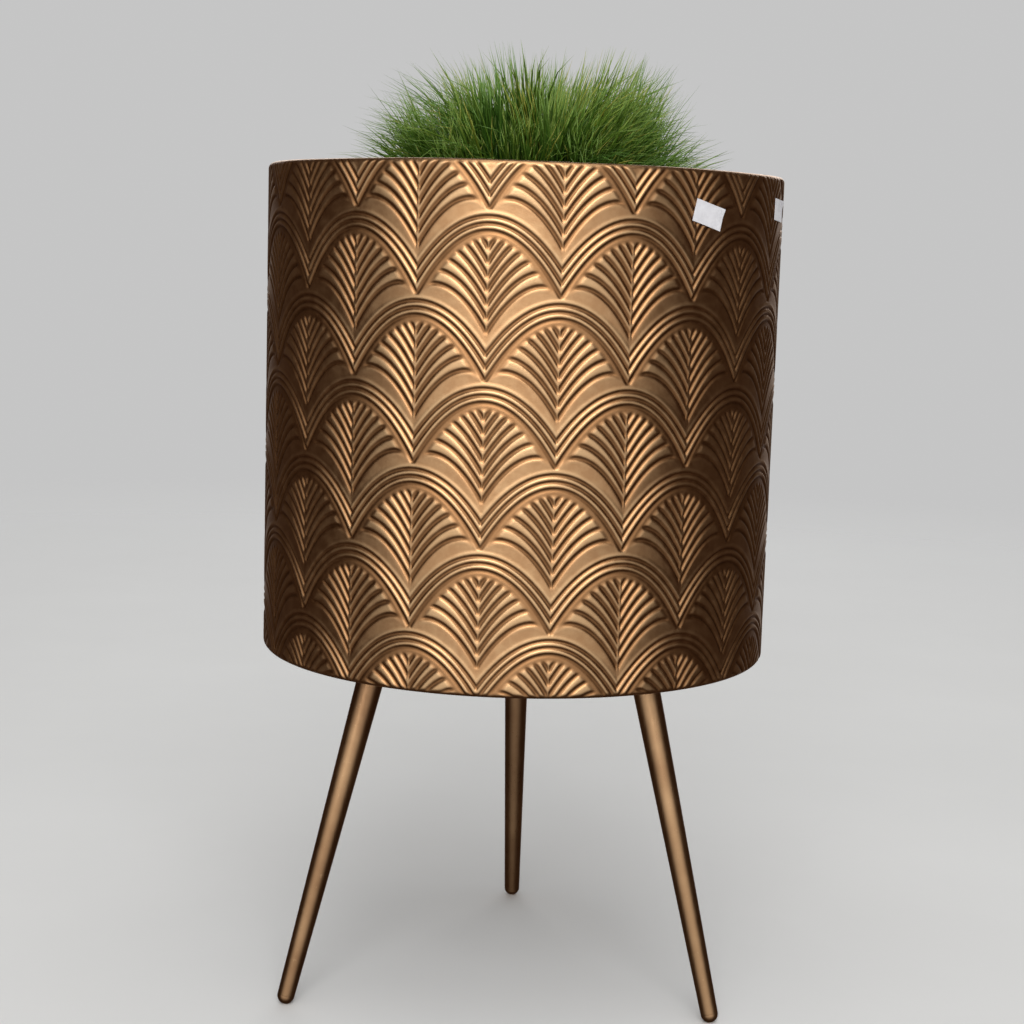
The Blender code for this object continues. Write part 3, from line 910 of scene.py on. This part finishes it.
LINER_SHEET = 0.0012
LINER_LIP_WIDTH = 0.006
LINER_LIP_DROP = 0.012
LINER_TAPER = 0.021
LINER_RING = (0.050, 0.060)
LINER_RING_HEIGHT = 0.004
LINER_STEP = (0.045, 0.0016)
LINER_STEP_HALF = 0.001
LINER_FILLET = 0.0016
LINER_STEPS = 128
DRAIN_CIRCLE = 0.078
DRAIN_RADIUS = 0.005
DRAIN_COUNT = 6
SOIL_RINGS = 70
SOIL_STEPS = 180
SOIL_LUMP = 0.0011
SOIL_SINK = 0.00077
SOIL_SCALE = 160.0
SOIL_FRACTAL = (0.8, 2.2, 5)  # fractal increment, lacunarity, octaves
CRUMBS = 900
CRUMB_SEED = 11
CRUMB_SIZE = (0.0008, 0.0026)
CRUMB_WIDTH = (0.5, 1.0)
CRUMB_HEIGHT = (0.3, 0.7)
CRUMB_AREA = (0.05, 1.0)
CRUMB_RISE = 0.15
CRUMB_MARGIN = 0.004


def nursery_pot():
    """Thin plastic pot: turned-down lip, a step below it, a standing ring and drain holes."""
    low, high = box_of("nursery_pot")
    half = LINER_SHEET / 2
    lip = high.x - half
    top = high.z - half
    wall_top = high.x - LINER_LIP_WIDTH - half
    base = high.x - LINER_LIP_WIDTH - LINER_TAPER - half
    floor = low.z + LINER_RING_HEIGHT + half
    step_drop, step_in = LINER_STEP
    share = (top - step_drop - floor) / (top - floor)
    at_step = base + (wall_top - base) * share
    midline = [
        (lip, high.z - LINER_LIP_DROP),
        (lip, top),
        (wall_top, top),
        (at_step + step_in / 2, top - step_drop + LINER_STEP_HALF),
        (at_step - step_in / 2, top - step_drop - LINER_STEP_HALF),
        (base, floor),
        (LINER_RING[1], floor),
        (LINER_RING[1], low.z + half),
        (LINER_RING[0], low.z + half),
        (LINER_RING[0], floor),
        (0.0, floor),
    ]
    midline = rounded(midline, LINER_FILLET, closed=False)
    names = ("plant_insert", "nursery_plastic", "nursery_pot")
    piece = sheet_solid("liner_pot", midline, LINER_SHEET, LINER_STEPS, *names)
    for turn in bearings(DRAIN_COUNT):
        spot = in_plan((DRAIN_CIRCLE * math.cos(turn), DRAIN_CIRCLE * math.sin(turn)))
        hole = cylinder_mesh("drain_hole", DRAIN_RADIUS, low.z, floor + OVERSHOOT, spot)
        boolean(piece, hole, "DIFFERENCE")


def soil():
    """Growing medium with a crumbly top."""
    low, high = box_of("growing_medium")
    height, radius = along_axis("growing_medium", Matrix.Identity(4))
    foot = radius[height < low.z + GAP].max()
    rings = np.linspace(0.0, high.x - GAP, SOIL_RINGS)
    outline = [(r, high.z) for r in rings] + [(foot - GAP, low.z), (0.0, low.z)]
    mesh = revolve("soil_bed", outline, SOIL_STEPS, False)
    for vert in mesh.vertices:
        if vert.co.z > high.z - GAP and math.hypot(vert.co.x, vert.co.y) < rings[-2]:
            lumps = noise.fractal(vert.co * SOIL_SCALE, *SOIL_FRACTAL)
            vert.co.z += SOIL_LUMP * lumps - SOIL_SINK
    mesh.update()
    add_piece("soil_bed", mesh, "plant_insert", "growing_medium", "growing_medium")
    crumb_layer(high.z, high.x - CRUMB_MARGIN)


def crumb_layer(level, reach):
    """Loose crumbs of bark and grit on the soil."""
    rng = np.random.default_rng(CRUMB_SEED)
    body = bmesh.new()
    for _ in range(CRUMBS):
        turn = rng.uniform(0.0, 2 * math.pi)
        size = rng.uniform(*CRUMB_SIZE)
        away = reach * math.sqrt(rng.uniform(*CRUMB_AREA))
        spot = (away * math.cos(turn), away * math.sin(turn), level + size * CRUMB_RISE)
        tumble = Euler(rng.uniform(0.0, math.pi, 3)).to_matrix().to_4x4()
        sizes = (size, size * rng.uniform(*CRUMB_WIDTH), size * rng.uniform(*CRUMB_HEIGHT), 1)
        place = Matrix.Translation(spot) @ tumble @ Matrix.Diagonal(sizes)
        bmesh.ops.create_icosphere(body, subdivisions=1, radius=1.0, matrix=place)
    mesh = mesh_of(body, "soil_crumbs")
    add_piece("soil_crumbs", mesh, "plant_insert", "growing_medium", hard_edges=True)


BLADE_STATIONS = 7
BLADE_LENGTH = (0.035, 0.175)
BLADE_WIDTH = (0.0010, 0.0017)
BLADE_THICKNESS = 0.28
BLADE_SWELL = 0.25
BLADE_TWIST = 0.8
BLADE_REACH = (0.86, 1.02)
GRASS_REACH = 0.1120
GRASS_CLUMP = 0.052
GRASS_CENTRE = (0.004, 0.0)
HEAD_ROOM = 0.0005

# Spread of the blades: the first number between locks, the last one within a lock
ROOT_SPREAD = 0.05
BEARING_SPREAD = 0.08
HEADING_SPREAD = (1.5, 0.10)
SWERVE_SPREAD = (0.45, 0.18)
LEAN_SPREAD = (0.12, 0.07)
BEND_SPREAD = 0.10
SHADE_RANGE = (0.1, 0.9)
SHADE_SPREAD = 0.14


def blade_lengths(path, origin, reach, high):
    """Length of each blade, so that its tip ends at its reach towards a dome over the rim."""
    dome = np.array([GRASS_REACH, GRASS_REACH, high.z - RIM])
    base = (origin - np.array([*GRASS_CENTRE, RIM])) / dome
    rise = path[:, -1] / dome
    a = (rise**2).sum(-1)
    b = (rise * base).sum(-1)
    c = (base**2).sum(-1) - reach**2
    length = (-b + np.sqrt(np.maximum(b * b - a * c, 0.0))) / a
    length = np.clip(length, *BLADE_LENGTH)
    top = (path[:, :, 2] * length[:, None]).max(axis=1)
    return length * np.minimum(1.0, (high.z - origin[:, 2] - HEAD_ROOM) / top)


def blade_points(path, twist, width, t):
    """Three-sided rings up each blade, and its tip."""
    ahead = np.gradient(path, axis=1)
    ahead /= np.linalg.norm(ahead, axis=-1, keepdims=True)
    side = np.stack([np.cos(twist), np.sin(twist), np.zeros_like(twist)], axis=-1)
    side -= ahead * (side * ahead).sum(-1, keepdims=True)
    side /= np.linalg.norm(side, axis=-1, keepdims=True)
    back = np.cross(ahead, side)
    width = width[:, None] * (1.0 - t**4) * (1.0 - BLADE_SWELL + BLADE_SWELL * np.sin(math.pi * t))
    width = width[:, :-1, None]
    spine, side, back = path[:, :-1], side[:, :-1], back[:, :-1]
    edges = [spine - side * width / 2, spine + back * width * BLADE_THICKNESS]
    edges.append(spine + side * width / 2)
    rings = np.stack(edges, axis=2).reshape(len(path), -1, 3)
    return np.concatenate([rings, path[:, -1:, :]], axis=1)


def blade_faces(count, per_blade):
    """Faces of the blades: quads between their rings, and triangles at the tip and the root."""
    tip = per_blade - 1
    last = tip - 3
    ring = np.arange(0, last, 3)[:, None]
    edge = np.arange(3)[None, :]
    beside = (edge + 1) % 3
    quads = [ring + edge, ring + beside, ring + beside + 3, ring + edge + 3]
    quads = np.stack(np.broadcast_arrays(*quads), axis=-1).reshape(-1, 4)
    ends = np.array([[last, last + 1, tip], [last + 1, last + 2, tip], [last + 2, last, tip], [2, 1, 0]])
    first = (np.arange(count) * per_blade)[:, None, None]
    return quads[None] + first, ends[None] + first


def grass(name, locks, per_lock, seed, lean, bend, fill, *nodes):
    """Tapered, arching blades in locks that spring from the soil and end near a dome over the rim.

    lean: how far the innermost and outermost blades tilt at the root. bend: the range of further
    tilt towards the tip. fill: the range of how far blades reach, where 1 is the dome.
    """
    rng = np.random.default_rng(seed)
    low, high = box_of("grass_tuft")
    count = locks * per_lock

    def spread(lock_values, within):
        return np.repeat(lock_values, per_lock) + rng.normal(0.0, within, count)

    def varied(between, within):
        return spread(rng.normal(0.0, between, locks), within)

    lock_share = np.sqrt(rng.random(locks))
    share = np.clip(spread(lock_share, ROOT_SPREAD), 0.0, 1.0)
    bearing = spread(rng.uniform(0.0, 2 * math.pi, locks), BEARING_SPREAD)
    root = np.stack([np.cos(bearing), np.sin(bearing)], axis=-1) * (share * GRASS_CLUMP)[:, None]
    root += np.array(GRASS_CENTRE)
    aside = rng.normal(0.0, HEADING_SPREAD[0], locks) * (1.1 - lock_share) ** 1.5
    heading = bearing + spread(aside, HEADING_SPREAD[1])
    swerve = varied(*SWERVE_SPREAD)
    start = lean[0] + (lean[1] - lean[0]) * share + varied(*LEAN_SPREAD)
    further = spread(rng.uniform(*bend, locks), BEND_SPREAD)
    lock_fill = np.repeat(rng.uniform(*fill, locks), per_lock)

    t = np.linspace(0.0, 1.0, BLADE_STATIONS)
    middle = (t[1:] + t[:-1]) / 2
    tilt = start[:, None] + further[:, None] * middle**1.4
    course = heading[:, None] + swerve[:, None] * middle**1.5
    step = np.stack([np.sin(tilt) * np.cos(course), np.sin(tilt) * np.sin(course), np.cos(tilt)], -1)
    path = np.concatenate([np.zeros((count, 1, 3)), np.cumsum(step, axis=1)], axis=1)
    path /= BLADE_STATIONS - 1
    origin = np.concatenate([root, np.full((count, 1), low.z)], axis=1)
    reach = lock_fill * rng.uniform(*BLADE_REACH, count)
    length = blade_lengths(path, origin, reach, high)
    path = origin[:, None, :] + path * length[:, None, None]

    turned = rng.normal(0.0, BLADE_TWIST, (count, 1))
    twist = heading[:, None] + math.pi / 2 + turned + swerve[:, None] * t
    points = blade_points(path, twist, rng.uniform(*BLADE_WIDTH, count), t)
    per_blade = points.shape[1]
    mesh = build_mesh(name, points.reshape(-1, 3), *blade_faces(count, per_blade))
    run = np.append(np.repeat(t[:-1], 3), 1.0)
    store_values(mesh, "along", np.broadcast_to(run, (count, per_blade)))
    # Tone of each lock, partly random and partly painted shade: the darkest locks stand for the shaded
    # gaps between tufts.
    shade = np.clip(spread(rng.uniform(*SHADE_RANGE, locks), SHADE_SPREAD), 0.0, 1.0)
    store_values(mesh, "shade", np.repeat(shade, per_blade))
    add_piece(name, mesh, "plant_insert", "grass", *nodes)


def all_grass():
    """Three layers: upright in the middle, arching round it, and low over the edge. The numbers
    are the locks, the blades in each and the seed."""
    upright = (math.radians(0), math.radians(22))
    arching = (math.radians(6), math.radians(38))
    low = (math.radians(26), math.radians(56))
    grass("grass_core", 84, 26, 3, upright, (0.05, 0.60), (0.80, 1.16), "grass_tuft")
    grass("grass_mantle", 120, 24, 5, arching, (0.50, 1.35), (0.74, 1.12))
    grass("grass_fringe", 130, 22, 9, low, (0.80, 1.45), (0.82, 1.12))


# ---- price labels

LABEL_SIZE = (0.0215, 0.0120)
LABEL_PAPER = 0.00015
LABEL_CURL = 0.0009
LABEL_LIFTED = (0.55, 1.05)
LABEL_GRID = (28, 16)
LABEL_TILTS = {"front": math.radians(-14), "side": math.radians(-3)}


def price_label(name, tilt):
    """Blank sticker bent round the wall, with one corner that has started to lift."""
    points = corners(f"price_label_{name}")
    middle = points.mean(axis=0)
    bearing = math.atan2(middle[1], middle[0])
    radius = np.hypot(points[:, 0], points[:, 1]).min()
    across, up = np.meshgrid(np.linspace(-0.5, 0.5, LABEL_GRID[0]), np.linspace(-0.5, 0.5, LABEL_GRID[1]))
    lift = LABEL_CURL * smoothstep(across + up, *LABEL_LIFTED)
    x = across * LABEL_SIZE[0] * math.cos(tilt) - up * LABEL_SIZE[1] * math.sin(tilt)
    z = across * LABEL_SIZE[0] * math.sin(tilt) + up * LABEL_SIZE[1] * math.cos(tilt) + middle[2]
    turn = bearing + x / radius
    sides = []
    for out in (radius + lift, radius + lift + LABEL_PAPER):
        sides.append(np.stack([out * np.cos(turn), out * np.sin(turn), z], axis=-1).reshape(-1, 3))
    columns, rows = LABEL_GRID
    here = np.arange(rows - 1)[:, None] * columns + np.arange(columns - 1)[None, :]
    back = np.stack([here, here + columns, here + columns + 1, here + 1], axis=-1).reshape(-1, 4)
    face = back[:, ::-1] + rows * columns
    top = (rows - 1) * columns
    rim = [*range(columns), *range(2 * columns - 1, rows * columns, columns)]
    rim += [*range(rows * columns - 2, top - 1, -1), *range(top - columns, 0, -columns)]
    after = rim[1:] + rim[:1]
    edge = [(a, b, b + rows * columns, a + rows * columns) for a, b in zip(rim, after)]
    mesh = build_mesh(f"label_{name}", np.concatenate(sides), np.concatenate([back, face, edge]))
    node = f"price_label_{name}"
    add_piece(f"label_{name}", mesh, "planter", "label_paper", node, hard_edges=True)


# ---- lights, stage and camera

CAMERA_BEARING = math.radians(2.0)
CAMERA_DISTANCE = 1.1725
CAMERA_HEIGHT = 0.4427
CAMERA_PITCH = math.radians(8.74)
CAMERA_ROLL = math.radians(1.76)
CAMERA_LENS = 69.12
CAMERA_SENSOR = 36.0
CAMERA_SHIFT = (-0.0029, 0.0391)

WHITE = (1.0, 1.0, 1.0)
ROOM_BEARING = math.radians(-92)
ROOM_RISE = (-1.55, 0.60)
ROOM_FRONT = (0.26, 1.0)
ROOM_BACK = (-0.78, -1.0)
ROOM_BACK_LEVEL = 0.40
ROOM_LEVEL = 1.56
ROOM_DUSK = (0.056, 0.034, 0.023)
AMBIENT = 0.40
BACKDROP = 0.56
FLOOR_RADIUS = 2.7
FLOOR_FADE = (0.9, 2.6)

# Bearing in degrees, distance, height, size and power of each soft panel
PANELS = {
    "key": (-86, 2.2, 2.0, (1.5, 1.4), 27.0),
    "front_fill": (-100, 2.6, 1.2, (1.3, 1.2), 9.0),
    "top": (-80, 0.6, 2.4, (1.6, 1.6), 14.0),
    "back_left": (103, 2.8, 1.6, (1.4, 1.4), 11.0),
    "back_right": (73, 2.8, 1.6, (1.4, 1.4), 11.0),
}


def add_camera():
    """Camera that looks a little down on the front of the pot."""
    data = bpy.data.cameras.new("camera")
    data.lens = CAMERA_LENS
    data.sensor_width = CAMERA_SENSOR
    data.shift_x, data.shift_y = CAMERA_SHIFT
    data.clip_start = 0.01
    camera = new_object("camera", data)
    turn = (
        Matrix.Rotation(CAMERA_BEARING, 4, "Z")
        @ Matrix.Rotation(math.pi / 2 - CAMERA_PITCH, 4, "X")
        @ Matrix.Rotation(CAMERA_ROLL, 4, "Z")
    )
    x = CAMERA_DISTANCE * math.sin(CAMERA_BEARING)
    y = -CAMERA_DISTANCE * math.cos(CAMERA_BEARING)
    camera.matrix_world = Matrix.Translation((x, y, CAMERA_HEIGHT)) @ turn
    bpy.context.scene.camera = camera


def add_floor():
    """Pale round floor that fades out into the background."""
    body = bmesh.new()
    bmesh.ops.create_circle(body, cap_ends=True, segments=96, radius=FLOOR_RADIUS)
    mesh = mesh_of(body, "floor")
    g = Graph("floor")
    g.set(Roughness=0.8)
    tone = g.noise(3.0, 4.0)
    g.set(Base_Color=g.ramp(tone, (0.3, (0.72, 0.72, 0.71)), (0.7, (0.75, 0.75, 0.74))))
    away = g.wired("VectorMath", "LENGTH", g.place).outputs["Value"]
    g.set(Alpha=g.span(away, *FLOOR_FADE, 1.0, 0.0))
    mesh.materials.append(g.material)
    floor = new_object("floor", mesh)
    floor.visible_glossy = False


def area_light(name, bearing, distance, height, size, power):
    """A soft panel that faces the middle of the pot."""
    data = bpy.data.lights.new(name, "AREA")
    data.shape = "RECTANGLE"
    data.size, data.size_y = size
    data.energy = power
    light = new_object(name, data)
    turn = math.radians(bearing)
    light.location = (distance * math.cos(turn), distance * math.sin(turn), height)
    aim = Vector((0.0, 0.0, (RIM + FOOT_OF_WALL) / 2)) - light.location
    light.rotation_euler = aim.to_track_quat("-Z", "Y").to_euler()


def studio_world():
    """Even soft light, and for reflections a room that is bright in front, less so behind, and
    dim at the sides and below."""
    world = bpy.data.worlds.new("studio")
    tree = Tree(world)

    def along(direction):
        sight = tree.node("TexCoord").outputs["Generated"]
        return tree.wired("VectorMath", "DOT_PRODUCT", sight, direction).outputs["Value"]

    def rise(value, low, high):
        node = tree.node("MapRange", Value=value, From_Min=low, From_Max=high)
        node.interpolation_type = "SMOOTHSTEP"
        return node.outputs["Result"]

    def glow(colour, strength):
        return tree.wired("Background", "", (*colour, 1.0), strength).outputs[0]

    front = along((math.cos(ROOM_BEARING), math.sin(ROOM_BEARING), 0.0))
    high = rise(along((0.0, 0.0, 1.0)), *ROOM_RISE)
    facing = tree.math("MULTIPLY", rise(front, *ROOM_FRONT), high)
    behind = tree.math("MULTIPLY", rise(front, *ROOM_BACK), high)
    light = tree.math("ADD", facing, tree.math("MULTIPLY", behind, ROOM_BACK_LEVEL))
    room = glow(WHITE, tree.math("MULTIPLY", light, ROOM_LEVEL))
    room = tree.wired("AddShader", "", room, glow(ROOM_DUSK, 1.0)).outputs[0]
    ray = tree.node("LightPath").outputs
    lit = tree.wired("MixShader", "", ray["Is Glossy Ray"], glow(WHITE, AMBIENT), room).outputs[0]
    seen = glow(WHITE, BACKDROP)
    final = tree.wired("MixShader", "", ray["Is Camera Ray"], lit, seen).outputs[0]
    tree.links.new(final, tree.nodes["World Output"].inputs["Surface"])
    return world


# ---- build

SKINS = {
    "embossed_brass": embossed_brass(),
    "pan_brass": plain_brass("pan_brass", (0.45, 0.28, 0.13), (0.27, 0.15, 0.065), 0.40),
    "leg_bronze": leg_bronze(),
    "rivet_brass": bright_metal("rivet_brass", (0.56, 0.41, 0.21), (0.40, 0.27, 0.12), 0.34),
    "mount_steel": bright_metal("mount_steel", (0.34, 0.24, 0.14), (0.22, 0.15, 0.085), 0.42),
    "zinc_steel": bright_metal("zinc_steel", (0.60, 0.60, 0.58), (0.46, 0.46, 0.45), 0.36),
    "steel_wire": bright_metal("steel_wire", (0.45, 0.44, 0.43), (0.33, 0.32, 0.31), 0.42),
    "label_paper": label_paper(),
    "nursery_plastic": nursery_plastic(),
    "growing_medium": potting_soil(),
    "grass": grass_skin(),
}

add_camera()
embossed_wall()
pan()
for side in SIDES:
    place = leg_place(side)
    leg_tube(side, place)
    foot_dome(side, place)
    split_washer(side, place)
    leg_plate(side, place)
    rivets(side)
nursery_pot()
soil()
all_grass()
for label, tilt in LABEL_TILTS.items():
    price_label(label, tilt)
for row in frame["record"]["subparts"]:
    materials = NODES[row["node"]].data.materials
    materials.clear()
    materials.append(SKINS[row["material_slot"]])
add_floor()
for name, panel in PANELS.items():
    area_light(name, *panel)
bpy.context.scene.world = studio_world()
bpy.context.scene.view_settings.view_transform = "Standard"
